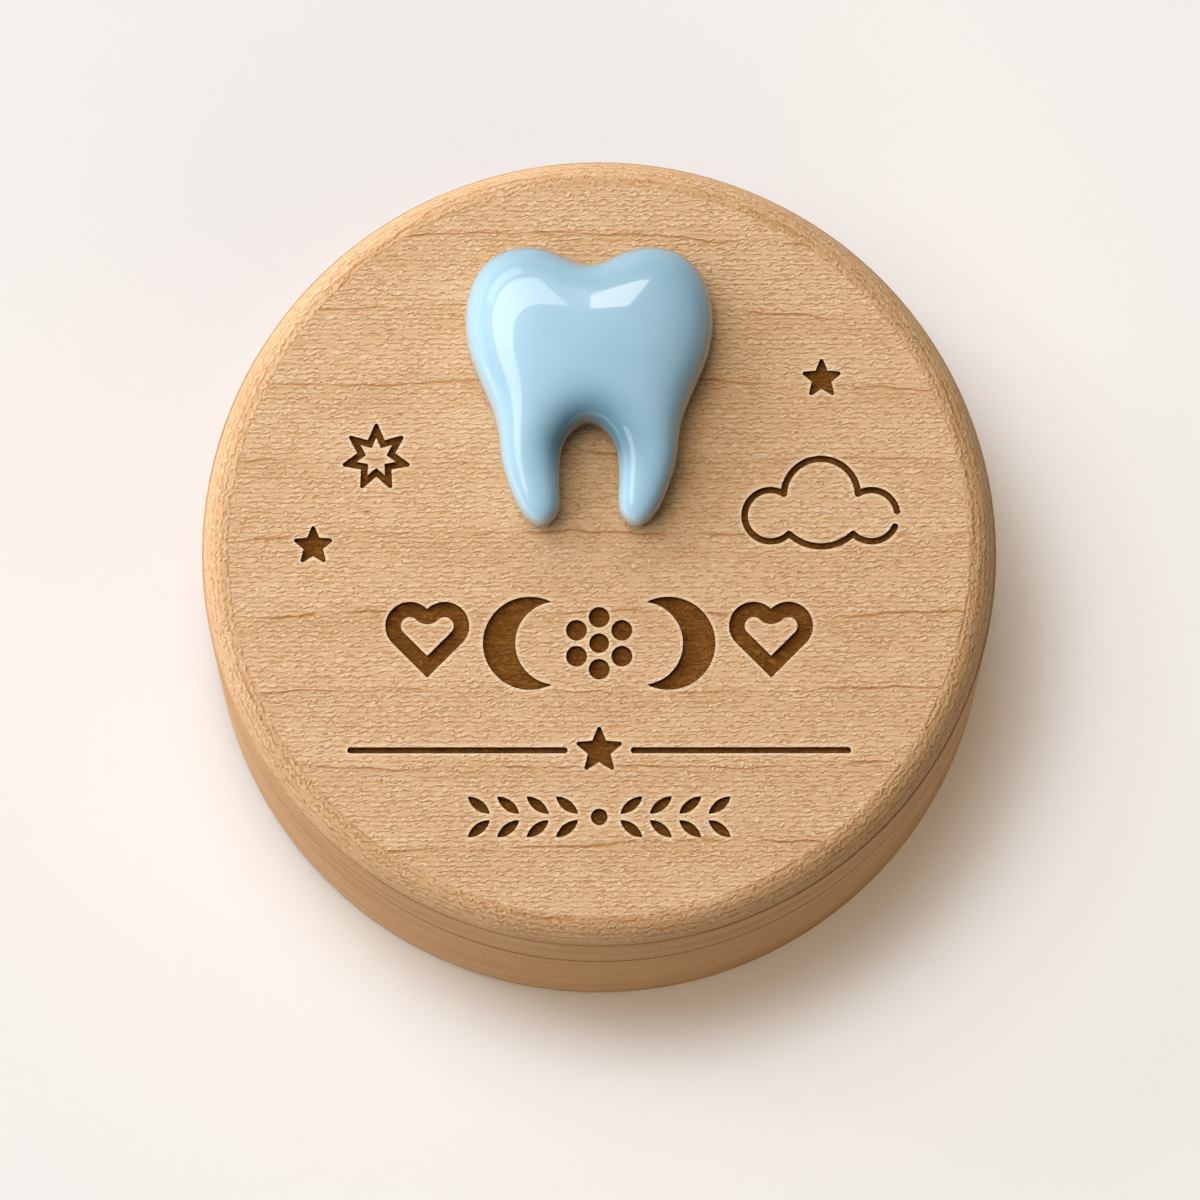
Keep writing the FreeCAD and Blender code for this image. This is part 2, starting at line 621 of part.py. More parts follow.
def engrave_ornaments(body):
    """Stars, outlined star, cloud, divider, row of motifs and row of leaves."""
    small_star = star_path("star_span", STAR_POINTS, STAR_NOTCH, "star_tip_round")
    engrave(body, "left_star", "left_star_x", "left_star_y", small_star)
    engrave(body, "right_star", "right_star_x", "right_star_y", small_star)
    engrave(body, "divider_star", "0", "divider_y",
            star_path("divider_star_span", STAR_POINTS, STAR_NOTCH, "star_tip_round"))
    engrave(body, "burst", "burst_x", "burst_y",
            star_path("burst_span", BURST_POINTS, BURST_NOTCH, "star_tip_round"),
            star_path("burst_span", BURST_POINTS, BURST_NOTCH, inset="burst_stroke"))
    for name, (x, y, radius, start, finish) in cloud_strokes().items():
        engrave(body, name, "cloud_x", "cloud_y",
                arc_slot_path(x, y, radius, "cloud_stroke", start, finish))
    engrave(body, "divider_lines", "0", "divider_y",
            slot_path("divider_inner", "divider_outer", "divider_stroke"),
            slot_path("-divider_outer", "-divider_inner", "divider_stroke"))
    for name, side in (("left", -1), ("right", 1)):
        engrave(body, f"{name}_heart", f"{side} * heart_x", "motif_row_y",
                heart_path("heart_lobe"), heart_inside_path("heart_lobe", "heart_stroke"))
        engrave(body, f"{name}_crescent", f"{side} * crescent_x", "motif_row_y",
                crescent_path("crescent_radius", "crescent_bite", -side))
    flower = add_sketch(body, "flower", "XY_Plane", ("0", "motif_row_y", LID_HEIGHT))
    add_circle(flower, "0", "0", "flower_core_radius")
    for petal in range(PETALS):
        angle = 90.0 + petal * 360.0 / PETALS
        add_circle(flower, f"flower_ring * cos({angle})", f"flower_ring * sin({angle})", "petal_radius")
    pocket(body, flower, "engraving_depth")
    bead = add_sketch(body, "leaf_bead", "XY_Plane", ("0", "leaf_row_y", LID_HEIGHT))
    add_circle(bead, "0", "0", "bead_radius")
    pocket(body, bead, "engraving_depth")
    for name, side in (("left", -1), ("right", 1)):
        angle = LEAF_ANGLE if side > 0 else 180.0 - LEAF_ANGLE
        sketch, cut = engrave(body, f"{name}_leaves", "0", "leaf_row_y",
                              leaf_path(f"{side} * leaf_start", "leaf_gap", angle),
                              leaf_path(f"{side} * leaf_start", "-leaf_gap", -angle))
        linear_pattern(body, cut, sketch, int(value("leaf_count")), "leaf_pitch", reverse=side < 0)


# Lid
def lid():
    """Turned lid with a socket for the cup's rim, a hollow, dowel holes and ornaments."""
    body = add_body("lid")
    rounded = f"{OUTSIDE} - edge_step - edge_round"
    section = add_sketch(body, "lid_section", "XZ_Plane")
    closed_path(section, [
        ("0", HOLLOW_HEIGHT),
        (HOLLOW_RADIUS, HOLLOW_HEIGHT),
        (HOLLOW_RADIUS, SOCKET_HEIGHT),
        (LID_BORE_RADIUS, SOCKET_HEIGHT),
        (LID_BORE_RADIUS, "0"),
        (f"{OUTSIDE} - seam_round", "0", f"{OUTSIDE} - seam_round", "seam_round", "ccw"),
        (OUTSIDE, "seam_round"),
        (OUTSIDE, f"{LID_HEIGHT} - edge_round - edge_land"),
        (f"{OUTSIDE} - edge_step", f"{LID_HEIGHT} - edge_round - edge_land"),
        (f"{OUTSIDE} - edge_step", f"{LID_HEIGHT} - edge_round",
         rounded, f"{LID_HEIGHT} - edge_round", "ccw"),
        (rounded, LID_HEIGHT),
        ("0", LID_HEIGHT),
    ])
    revolve(body, section)
    magnet_pockets(body, SOCKET_HEIGHT, upward=True)
    holes = add_sketch(body, "lid_dowels", "XY_Plane", ("0", "0", LID_HEIGHT))
    for side in (-1, 1):
        add_circle(holes, f"tooth_shift + {side} * dowel_spacing / 2", "tooth_tip_y + dowel_rise",
                   DOWEL_HOLE_RADIUS)
    pocket(body, holes, DOWEL_IN_LID)
    engrave_ornaments(body)
    bind(body, "Placement.Base.z", SEAM_Z)
    return body


# Tooth and its dowels
def ornament_dowels():
    """Two dowels that stand half in the lid and half in the tooth."""
    dowels = []
    for number, side in enumerate((-1, 1)):
        place = (f"tooth_shift + {side} * dowel_spacing / 2", "tooth_tip_y + dowel_rise",
                 f"{LID_TOP_Z} - {DOWEL_IN_LID} + glue_gap")
        dowels.append(add_cylinder(f"dowel_{number}", "dowel_diameter / 2",
                                   f"{DOWEL_IN_LID} + dowel_in_tooth - 2 * glue_gap", place))
    return add_group("ornament_dowels", dowels)


def tooth_level(number, height_share, draw):
    """Closed curve round the tooth at one level, the same on both sides of its axis."""
    half_width = value("tooth_width / 2")
    height = value("tooth_height")
    level = value("tooth_thickness") * height_share
    right = []
    for (x, y), (ridge_x, ridge_y) in TOOTH_HALF:
        across = (x + draw * (ridge_x - x)) * half_width
        along = (y + draw * (ridge_y - y)) * height
        right.append(Vector(across, along, level))
    left = [Vector(-point.x, point.y, level) for point in reversed(right[1:-1])]
    curve = Part.BSplineCurve()
    curve.interpolate(Points=right + left, PeriodicFlag=True)
    section = doc.addObject("Part::Feature", f"tooth_level_{number}")
    section.Shape = Part.Wire([curve.toShape()])
    return section


def tooth_ornament():
    """Puffed tooth with a domed face, a flat back and holes for its dowels."""
    puffed = doc.addObject("Part::Loft", "tooth_puffed")
    puffed.Sections = [tooth_level(number, *level) for number, level in enumerate(TOOTH_LEVELS)]
    puffed.Solid = True
    puffed.Ruled = False
    dome = doc.addObject("Part::Sphere", "tooth_dome")
    bind(dome, "Radius", "tooth_dome_radius")
    bind(dome, "Placement.Base.y", "tooth_dome_rise")
    bind(dome, "Placement.Base.z", "tooth_thickness - tooth_dome_radius")
    blank = doc.addObject("Part::Common", "tooth_blank")
    blank.Base = puffed
    blank.Tool = dome
    drills = []
    for number, side in enumerate((-1, 1)):
        drills.append(add_cylinder(f"tooth_drill_{number}", DOWEL_HOLE_RADIUS, "dowel_in_tooth",
                                   (f"{side} * dowel_spacing / 2", "dowel_rise", "0")))
    tooth = doc.addObject("Part::Cut", "tooth_ornament")
    tooth.Label = "tooth_ornament"
    tooth.Base = blank
    tooth.Tool = add_group("tooth_drills", drills)
    for axis, text in zip("xyz", ("tooth_shift", "tooth_tip_y", LID_TOP_Z)):
        bind(tooth, f"Placement.Base.{axis}", text)
    return tooth


def check(parts):
    """Stop if anything failed to build."""
    for item in doc.Objects:
        if "Invalid" in item.State or "Error" in item.State:
            raise RuntimeError(f"{item.Name} did not build: {item.State}")
    for part in parts:
        if part.Shape.isNull() or not part.Shape.isValid():
            raise RuntimeError(f"{part.Label} is not a valid shape")


def write(parts):
    """Write one file for each sub-part."""
    os.makedirs("parts", exist_ok=True)
    for part in parts:
        part.Shape.exportStep(f"parts/{part.Label}.step")
        print(part.Label, len(part.Shape.Solids), "solids", round(part.Shape.Volume, 2), "mm3")


fill_sheet()
nodes = [base_cup(), *felt_discs(), *magnets(), tray_floor(), tray_ring(), tray_partitions(), tray_knob(),
         lid(), ornament_dowels(), tooth_ornament()]
doc.recompute()
check(nodes)
write(nodes)
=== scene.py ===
import math
from collections import namedtuple

import bpy
import numpy as np
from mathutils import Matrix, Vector
from mathutils.geometry import delaunay_2d_cdt


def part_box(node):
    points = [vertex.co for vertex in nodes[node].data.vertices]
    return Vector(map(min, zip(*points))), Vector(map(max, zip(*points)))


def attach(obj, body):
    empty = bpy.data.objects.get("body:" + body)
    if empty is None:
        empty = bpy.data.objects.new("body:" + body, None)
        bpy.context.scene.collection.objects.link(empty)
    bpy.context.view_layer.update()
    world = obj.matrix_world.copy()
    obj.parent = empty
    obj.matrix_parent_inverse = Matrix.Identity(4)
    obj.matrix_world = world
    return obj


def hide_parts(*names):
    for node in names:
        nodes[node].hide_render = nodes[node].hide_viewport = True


MM = 0.001

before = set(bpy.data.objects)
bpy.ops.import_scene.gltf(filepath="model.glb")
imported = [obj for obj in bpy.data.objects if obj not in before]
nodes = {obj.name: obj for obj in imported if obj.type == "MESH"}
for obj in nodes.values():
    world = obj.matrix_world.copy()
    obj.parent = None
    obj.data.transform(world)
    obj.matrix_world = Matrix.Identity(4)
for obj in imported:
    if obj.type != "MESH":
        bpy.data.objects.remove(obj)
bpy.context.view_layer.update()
lid_low, lid_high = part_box("lid")
LID_TOP = lid_high.z
LID_CENTRE = Vector((0, 0, LID_TOP))
SEAM_Z = lid_low.z
BOX_RADIUS = lid_high.x

# Camera of the photograph, whose image is 1200 pixels wide and high
IMAGE_SIDE = 1200
PIXELS_PER_RADIUS = 397.93
LID_CENTRE_PIXEL = (599.11, 548.88)
CAMERA_RADII = 30.0
CAMERA_ELEVATION = math.radians(81.38)
SENSOR_WIDTH = 36.0

# Tints of the lights
COOL = (0.92, 1.0, 1.08)
WARM = (1.0, 0.72, 0.42)
SOFT_WARM = (1.10, 0.99, 0.85)
NEUTRAL = (1.04, 1.0, 0.96)
SKY = (0.90, 1.0, 1.22)
KEY = (1.08, 0.98, 0.91)
ROSE = (1.12, 0.94, 0.95)
PEARL = (0.97, 1.0, 1.04)

# Round soft lights, with angles in degrees, the tilt from the vertical, and what they reach
SoftLight = namedtuple("SoftLight", "name azimuth tilt distance diameter watts colour reach")
SOFT_LIGHTS = (
    SoftLight("overhead", 150.0, 12.0, 1.2, 0.25, 3.2, COOL, "floor"),
    SoftLight("overhead_wide", 150.0, 12.0, 1.2, 0.70, 5.7, COOL, "floor"),
    SoftLight("overhead_near", 120.0, 7.0, 1.2, 0.25, 3.0, COOL, "floor"),
    SoftLight("low", 140.0, 45.0, 1.2, 0.80, 8.0, COOL, "floor"),
    SoftLight("fill", 300.0, 35.0, 1.2, 1.00, 4.6, WARM, "floor"),
    SoftLight("ceiling", 130.0, 14.0, 0.8, 0.45, 2.25, SOFT_WARM, "wood"),
    SoftLight("tooth_top", 155.0, 44.0, 0.7, 0.50, 4.0, PEARL, "tooth"),
    SoftLight("tooth_side", 205.0, 65.0, 0.7, 0.35, 2.6, ROSE, "tooth"),
)

# Curved softboxes, which shine on matte faces, mirror in the glaze, or both
CurvedBox = namedtuple(
    "CurvedBox", "name azimuth_from azimuth_to tilt_from tilt_to radiance colour shines mirrors reach")
CURVED_BOXES = (
    CurvedBox("key", 96.0, 214.0, 27.0, 44.0, 3.5, KEY, True, True, "box"),
    CurvedBox("key_right", 75.0, 90.0, 26.0, 42.0, 7.0, KEY, False, True, "box"),
    CurvedBox("strip", 105.0, 150.0, 47.5, 58.0, 2.2, NEUTRAL, True, True, "box"),
    CurvedBox("shoulder", 80.0, 215.0, 56.0, 74.0, 5.2, SKY, True, False, "wood"),
    CurvedBox("horizon", 80.0, 215.0, 74.0, 92.0, 4.0, SKY, True, False, "wood"),
    CurvedBox("front", 240.0, 340.0, 60.0, 85.0, 1.4, WARM, True, False, "wood"),
    CurvedBox("glow", 60.0, 190.0, 65.0, 97.0, 0.9, NEUTRAL, False, True, "box"),
    CurvedBox("rim", 190.0, 420.0, 80.0, 97.0, 3.0, NEUTRAL, False, True, "box"),
)
CURVED_DISTANCE = 0.9
CURVED_STEPS = 48
BRIGHTEST_AZIMUTH = 140.0
FADE_SPAN = 90.0
WORLD_COLOUR = (1.0, 0.95, 0.90, 1.0)
WORLD_STRENGTH = 0.10

# Paper floor
FLOOR_SIDE = 6.0
FLOOR_COLOUR = (0.880, 0.850, 0.825, 1.0)
PAPER_LIFT = 1.01
PAPER_WAVES = (0.8, 0.8, 0.8)

# Wooden pieces, their materials, and where in the plank each was cut, in millimetres
WOODEN_PIECES = (
    ("lid", "beech_lid", (11.0, 3.0, 0.0)),
    ("base_cup", "beech_cup", (-7.0, 40.0, 9.0)),
    ("tray_floor", "beech_tray_floor", (31.0, 18.0, 5.0)),
    ("tray_ring", "beech_tray_ring", (-44.0, 27.0, 15.0)),
    ("tray_partitions", "beech_partition", (12.0, -35.0, 21.0)),
    ("tray_knob", "beech_knob", (3.0, -26.0, 14.0)),
    ("ornament_dowels", "beech_dowel", (52.0, 6.0, 2.0)),
)

# Grain of the wood, in millimetres: weights of the axes across its fibres, strength of its lines, and sizes
STRAIGHT = (0.0, 1.0, 0.35)
TURNED = (0.0, 0.0, 1.0)
STRAIGHT_LINES = 0.78
TURNED_LINES = 0.30
PROFILE_STRETCH = (1.0, 1.0, 0.6)
RING_PITCH = 7.4
RING_SWAY = 6.0
FIBRE_PITCH = 0.48
FIBRE_BEND = 11.0
WOOD_RELIEF = 0.040

# Noise of the wood, in waves per millimetre along and across the fibres
SWAY_WAVES = (0.020, 0.040)
RIPPLE_WAVES = (0.30, 0.60)
LINE_WAVES = (0.16, 0.70)
BEND_WAVES = (2.00, 2.50)
PRESENCE_WAVES = (1.30, 3.00)
PORE_WAVES = (0.85, 3.4)
PATCH_WAVES = (0.10, 0.35)

# Ramps of the wood: the two values read, and what they become if that isn't 0 and 1
LINE_RISE = (0.958, 0.972)
LINE_FALL = (1.0, 0.987)
LINE_BREAKS = (0.40, 0.56)
FIBRE_PRESENCE = (0.36, 0.58, 0.20, 1.0)
PORES = (0.69, 0.75)
LATE_IN_RING = (0.30, 1.0, 0.0, 0.25)
LATE_PATCHES = (0.50, 0.28, 0.0, 0.25)
PALE_PATCHES = (0.52, 0.75, 0.0, 0.22)
PALE_CRESTS = (0.15, 0.90, 0.0, 0.52)
DARK_TROUGHS = (-0.15, -0.90, 0.0, 0.54)
DARK_STREAKS = (0.48, 0.64, 0.0, 0.70)
PALE_STREAKS = (0.48, 0.36, 0.0, 0.50)
WOOD_ROUGHNESS = (-0.8, 0.8, 0.70, 0.56)
PORE_SHARE = 0.60

# Linear colours of the wood, with the painted shade of the rounded edge, the side and the seam
EARLY_WOOD = (0.610, 0.392, 0.212, 1.0)
LATE_WOOD = (0.470, 0.262, 0.115, 1.0)
PALE_FIBRE = (0.735, 0.545, 0.350, 1.0)
FURROW = (0.440, 0.205, 0.062, 1.0)
GROWTH_LINE = (0.390, 0.165, 0.046, 1.0)
# Colour of the pores, also used for the painted shade of the seam
PORE_AND_SEAM_SHADE = (0.270, 0.110, 0.032, 1.0)
# Partly the darker fibres of the rounded edge, partly painted shade where it turns from the lights above
EDGE_TONE_AND_SHADE = (0.89, 0.84, 0.76, 1.0)
# Painted shade: the side is darkened and warmed against the top, as a face turned from the lights above
SIDE_PAINTED_SHADE = (0.84, 0.75, 0.62, 1.0)

# Rounded edge, smooth side and seam, whose dark line is painted shade, in millimetres and shares
EDGE_START = 35.35
EDGE_BLEND = 0.10
SMOOTH_START = 37.7
SIDE_START = 37.80
SIDE_BLEND = 0.04
SIDE_MARGIN = 0.6
SIDE_RELIEF = 0.2
SIDE_ROUGHNESS = 0.95
GRAIN_ON_SIDE = 0.35
STREAK_WAVES = (0.05, 0.05, 1.60)
SEAM_REACH = 0.40
SEAM_BLEND = 0.12
SEAM_DARKNESS = 0.85

# Burnt ornaments, with painted shade along their walls and a painted highlight round their rims, in
# millimetres and linear colours
ORNAMENT_REACH = 34.6
TOP_MARGIN = 0.02
CUT_START = 0.03
CUT_FULL = 0.12
CUT_LIMIT = 2.0
RIM_HIGHLIGHT_REACH = 0.45
CORNER_SHADE_REACH = 0.40
CORNER_SAMPLES = 8
MOTTLE_WAVES = (1.3, 2.2, 2.2)
SCORCHED_PATCHES = (0.50, 0.68, 0.0, 0.85)
CHARRED_PATCHES = (0.46, 0.30, 0.0, 0.6)
CORNER_SHADE_AND_CHAR = (0.72, 0.40, 0.0, 0.85)
# Painted highlight round the rims of the ornaments
RIM_PAINTED_HIGHLIGHT = (0.99, 0.72, 0.0, 0.60)
BURNT_ROUGHNESS = 0.75
RIM_HIGHLIGHT_COLOUR = (0.790, 0.605, 0.380, 1.0)
BURNT = (0.165, 0.062, 0.009, 1.0)
CHARRED_AND_CORNER_SHADE = (0.046, 0.015, 0.002, 1.0)
SCORCHED = (0.280, 0.122, 0.024, 1.0)

# Glaze of the tooth
GLAZE = (0.330, 0.555, 0.680, 1.0)
GLAZE_CLOUD = (0.355, 0.580, 0.700, 1.0)
GLAZE_EDGE = (0.400, 0.545, 0.625, 1.0)
# Painted shade: darker teal for the fork between the roots
GLAZE_FORK_SHADE = (0.070, 0.190, 0.250, 1.0)
CLOUD_WAVES = (0.18, 0.18, 0.18)
CLOUD_RANGE = (0.3, 0.7)
THIN_EDGE = (0.55, 0.20, 0.0, 0.45)

# Right half of the tooth's outline, from dip to fork, as shares of the half width and the height
TOOTH_HALF = (
    (0.000, 0.935), (0.245, 0.974), (0.515, 1.000), (0.790, 0.959), (0.950, 0.860), (1.000, 0.737),
    (0.962, 0.615), (0.810, 0.447), (0.738, 0.346), (0.705, 0.231), (0.624, 0.119), (0.518, 0.034),
    (0.382, 0.000), (0.264, 0.034), (0.236, 0.112), (0.232, 0.231), (0.180, 0.308), (0.000, 0.365),
)

# Mesh of the tooth, in millimetres
OUTLINE_POINTS = 420
EDGE_INSETS = (0.01, 0.04, 0.10, 0.20, 0.34, 0.52, 0.74)
GRID_STEP = 0.30
GRID_INSET = 0.95
TOOTH_UNDERCUT = 0.55
WALL_STEPS = 6

# Filling of the tooth's outline with triangles, and the steps that blow up its face
INSIDE_ONLY = 1
WELD_DISTANCE = 1e-7
LEAST_RISE = 1e-12
FILM_STEPS = 1500
FILM_AT_REST = 1e-14

# Swell of the tooth, as shares of its thickness and height, and powers that fill it out
TOOTH_WAIST = 0.20
CROWN_POWER = 0.6
ROOT_POWER_DROP = 0.17
ROOTS_END = 0.50
ROOTS_BLEND = 0.25

# Painted shade in the fork between the roots: where, as shares of the tooth, and its reach in millimetres
FORK_HALF_WIDTH = 0.25
FORK_LOW = 0.29
FORK_TOP = 0.37
FORK_SHADE_REACH = 2.6
FORK_SHADE_SHARE = 0.95

# Felt: its body, its dark mats and its pale fibres
LINING_COLOURS = ((0.50, 0.60, 0.66, 1.0), (0.36, 0.46, 0.53, 1.0), (0.70, 0.77, 0.80, 1.0))
PAD_COLOURS = ((0.62, 0.55, 0.45, 1.0), (0.45, 0.38, 0.30, 1.0), (0.78, 0.72, 0.63, 1.0))
MAT_WAVES = (1.8, 1.8, 1.8)
STRAND_WAVES = (5.0, 1.4, 5.0)
CROSSING_WAVES = (1.4, 5.0, 5.0)
DARK_MATS = (0.62, 0.35, 0.0, 0.6)
PALE_STRANDS = (0.54, 0.66, 0.0, 0.55)
FELT_RELIEF = 0.28

# Discs of felt: roll and dip as shares of the thickness, and waves in radians per millimetre
FELT_RINGS = 36
FELT_SPOKES = 144
FELT_ROLL = 0.38
FELT_ROLL_STEPS = 4
FELT_DIP = 0.03
FELT_WAVES = 5
FELT_WAVE_RANGE = (0.1, 0.5)
FELT_WAVE_STARTS = (0, 6.28)

# Nickel plate
NICKEL_DULL = (0.62, 0.60, 0.56, 1.0)
NICKEL_BRIGHT = (0.76, 0.75, 0.72, 1.0)
SCUFF_WAVES = (9.0, 1.5, 9.0)
SCUFF_ROUGHNESS = (0.3, 0.7, 0.18, 0.36)
SCUFF_RELIEF = 0.02


class Tree:
    """Node tree of one material, with a short call for each kind of node."""

    def __init__(self, name):
        self.material = bpy.data.materials.new(name)
        self.material.use_nodes = True
        self.nodes = self.material.node_tree.nodes
        self.links = self.material.node_tree.links
        self.shader = self.nodes["Principled BSDF"]

    def set(self, socket, value):
        """Link a node's output to a socket, or set the socket to a plain value."""
        if isinstance(value, bpy.types.NodeSocket):
            self.links.new(value, socket)
        else:
            socket.default_value = value

    def finish(self, **inputs):
        """Set the shader's sockets, named with underscores for spaces, and give the material."""
        for name, value in inputs.items():
            self.set(self.shader.inputs[name.replace("_", " ")], value)
        return self.material

    def add(self, kind, inputs, output=0, **settings):
        """New node, its inputs by name or number, and one of its outputs."""
        node = self.nodes.new(f"ShaderNode{kind}")
        for name, value in settings.items():
            setattr(node, name, value)
        for name, value in inputs.items():
            self.set(node.inputs[name], value)
        return node.outputs[output]

    def math(self, operation, *values):
        return self.add("Math", dict(enumerate(values)), operation=operation)

    def scaled(self, vector, scale):
        return self.add("VectorMath", {0: vector, 1: scale}, operation="MULTIPLY")

    def noise(self, vector, detail=2.0, roughness=0.5, distortion=0.0):
        inputs = {"Vector": vector, "Scale": 1.0, "Detail": detail, "Roughness": roughness,
                  "Distortion": distortion}
        return self.add("TexNoise", inputs)

    def ramp(self, value, low, high, to_low=0.0, to_high=1.0):
        """Value carried smoothly from one range to another, and held at its ends."""
        inputs = {"Value": value, "From Min": low, "From Max": high, "To Min": to_low, "To Max": to_high}
        return self.add("MapRange", inputs, interpolation_type="SMOOTHSTEP")

    def mix(self, factor, first, second, blend="MIX"):
        """Mix of two colours."""
        inputs = {0: factor, 6: first, 7: second}
        return self.add("Mix", inputs, output=2, data_type="RGBA", blend_type=blend)

    def between(self, factor, first, second):
        """Mix of two numbers."""
        return self.add("Mix", {0: factor, 2: first, 3: second}, data_type="FLOAT")

    def bump(self, height, millimetres):
        return self.add("Bump", {"Height": height, "Distance": millimetres * MM})

    def corner(self, reach, inside):
        """How open the surface is within a reach in millimetres, outside the piece or inside it."""
        return self.add("AmbientOcclusion", {"Distance": reach * MM}, output="AO", inside=inside,
                        samples=CORNER_SAMPLES)

    def attribute(self, name):
        """Number that the mesh carries at each point."""
        return self.add("Attribute", {}, output="Fac", attribute_name=name)

    def place(self):
        """Place in the frame in millimetres, which stays with its piece when that moves."""
        return self.scaled(self.add("TexCoord", {}, output="Object"), [1 / MM] * 3)

    def split(self, vector):
        node = self.nodes.new("ShaderNodeSeparateXYZ")
        self.links.new(vector, node.inputs[0])
        return node.outputs

    def join(self, x, y, z):
        return self.add("CombineXYZ", {0: x, 1: y, 2: z})


# Materials
def grain(tree, place, across, lined):
    """Colour and relief of beech, where across weighs the axes that cross its fibres, and lined is how
    strongly its growth lines show."""
    def field(waves, **options):
        along, over = waves
        return tree.noise(tree.scaled(place, [over if crosses else along for crosses in across]), **options)

    depth = tree.add("VectorMath", {0: place, 1: across}, output="Value", operation="DOT_PRODUCT")
    ring = tree.math("MULTIPLY_ADD", field(SWAY_WAVES), RING_SWAY, depth)
    ring = tree.math("ADD", ring, field(RIPPLE_WAVES))
    phase = tree.math("FRACT", tree.math("DIVIDE", ring, RING_PITCH))
    line = tree.math("MULTIPLY", tree.ramp(phase, *LINE_RISE), tree.ramp(phase, *LINE_FALL))
    line = tree.math("MULTIPLY", line, tree.ramp(field(LINE_WAVES, detail=4.0), *LINE_BREAKS))
    turn = tree.math("MULTIPLY", depth, 2 * math.pi / FIBRE_PITCH)
    wave = tree.math("SINE", tree.math("MULTIPLY_ADD", field(BEND_WAVES, detail=1.0), FIBRE_BEND, turn))
    wave = tree.math("MULTIPLY", wave, tree.ramp(field(PRESENCE_WAVES, detail=1.0), *FIBRE_PRESENCE))
    pores = tree.ramp(field(PORE_WAVES), *PORES)
    patch = field(PATCH_WAVES, detail=3.0)
    colour = tree.mix(tree.ramp(phase, *LATE_IN_RING), EARLY_WOOD, LATE_WOOD)
    colour = tree.mix(tree.ramp(patch, *LATE_PATCHES), colour, LATE_WOOD)
    colour = tree.mix(tree.ramp(patch, *PALE_PATCHES), colour, PALE_FIBRE)
    colour = tree.mix(tree.ramp(wave, *PALE_CRESTS), colour, PALE_FIBRE)
    colour = tree.mix(tree.ramp(wave, *DARK_TROUGHS), colour, FURROW)
    colour = tree.mix(tree.math("MULTIPLY", line, lined), colour, GROWTH_LINE)
    colour = tree.mix(tree.math("MULTIPLY", pores, PORE_SHARE), colour, PORE_AND_SEAM_SHADE)
    relief = tree.math("SUBTRACT", wave, line)
    return colour, tree.math("SUBTRACT", relief, pores)


def turned_place(tree, place):
    """Place on a turned surface, with its fibres round the axis and its profile along Z; radius and z."""
    x, y, z = tree.split(place)
    radius = tree.math("SQRT", tree.math("MULTIPLY_ADD", x, x, tree.math("MULTIPLY", y, y)))
    share = tree.math("DIVIDE", BOX_RADIUS / MM, tree.math("MAXIMUM", radius, 1.0))
    rim_x = tree.math("MULTIPLY", x, share)
    rim_y = tree.math("MULTIPLY", y, share)
    return tree.join(rim_x, rim_y, tree.math("SUBTRACT", radius, z)), radius, z


def streaked_side(tree, turned, turned_colour):
    """Colour of the smooth side: long dark and pale streaks round it, over a little of the grain, darkened
    all round as painted shade.
    """
    streak = tree.noise(tree.scaled(turned, STREAK_WAVES), detail=4.0, roughness=0.65)
    colour = tree.mix(tree.ramp(streak, *DARK_STREAKS), EARLY_WOOD, FURROW)
    colour = tree.mix(tree.ramp(streak, *PALE_STREAKS), colour, PALE_FIBRE)
    colour = tree.mix(GRAIN_ON_SIDE, colour, turned_colour)
    # Painted shade: the whole side's colour is multiplied darker and warmer
    return tree.mix(1.0, colour, SIDE_PAINTED_SHADE, blend="MULTIPLY")


def seam_shade(tree, radius, z):
    """Painted shade of the seam: a dark line round the side, where the lid meets the cup."""
    outside = tree.math("GREATER_THAN", radius, SIDE_START - SIDE_MARGIN)
    from_seam = tree.math("ABSOLUTE", tree.math("SUBTRACT", z, SEAM_Z / MM))
    near = tree.ramp(from_seam, SEAM_REACH, SEAM_REACH - SEAM_BLEND, 0.0, SEAM_DARKNESS)
    return tree.math("MULTIPLY", outside, near)


def beech(name, plank_place, ornaments):
    """Brushed beech on top, fibres round the rounded edge, a smooth streaked side, and burnt ornaments; the
    edge, the side and the seam carry painted shade.
    """
    tree = Tree(name)
    place = tree.place()
    turned, radius, z = turned_place(tree, place)
    moved = tree.add("VectorMath", {0: place, 1: plank_place}, operation="ADD")
    top_colour, top_relief = grain(tree, moved, STRAIGHT, STRAIGHT_LINES)
    turned_colour, turned_relief = grain(tree, tree.scaled(turned, PROFILE_STRETCH), TURNED, TURNED_LINES)
    edge = tree.ramp(radius, EDGE_START - EDGE_BLEND, EDGE_START + EDGE_BLEND)
    side = tree.ramp(radius, SIDE_START - SIDE_BLEND, SIDE_START)
    # Rounded edge darker than the top: partly its own fibres, partly painted shade
    edge_colour = tree.mix(1.0, turned_colour, EDGE_TONE_AND_SHADE, blend="MULTIPLY")
    side_colour = streaked_side(tree, turned, turned_colour)
    colour = tree.mix(side, tree.mix(edge, top_colour, edge_colour), side_colour)
    # Painted shade in the groove where the lid meets the cup
    colour = tree.mix(seam_shade(tree, radius, z), colour, PORE_AND_SEAM_SHADE)
    smooth = tree.ramp(radius, SMOOTH_START - SIDE_MARGIN, SMOOTH_START, 1.0, SIDE_RELIEF)
    height = tree.math("MULTIPLY", tree.between(edge, top_relief, turned_relief), smooth)
    roughness = tree.between(side, tree.ramp(height, *WOOD_ROUGHNESS), SIDE_ROUGHNESS)
    if ornaments:
        colour, roughness = burn(tree, moved, radius, z, colour, roughness)
    normal = tree.bump(height, WOOD_RELIEF)
    return tree.finish(Base_Color=colour, Roughness=roughness, Normal=normal, Specular_IOR_Level=0.12)


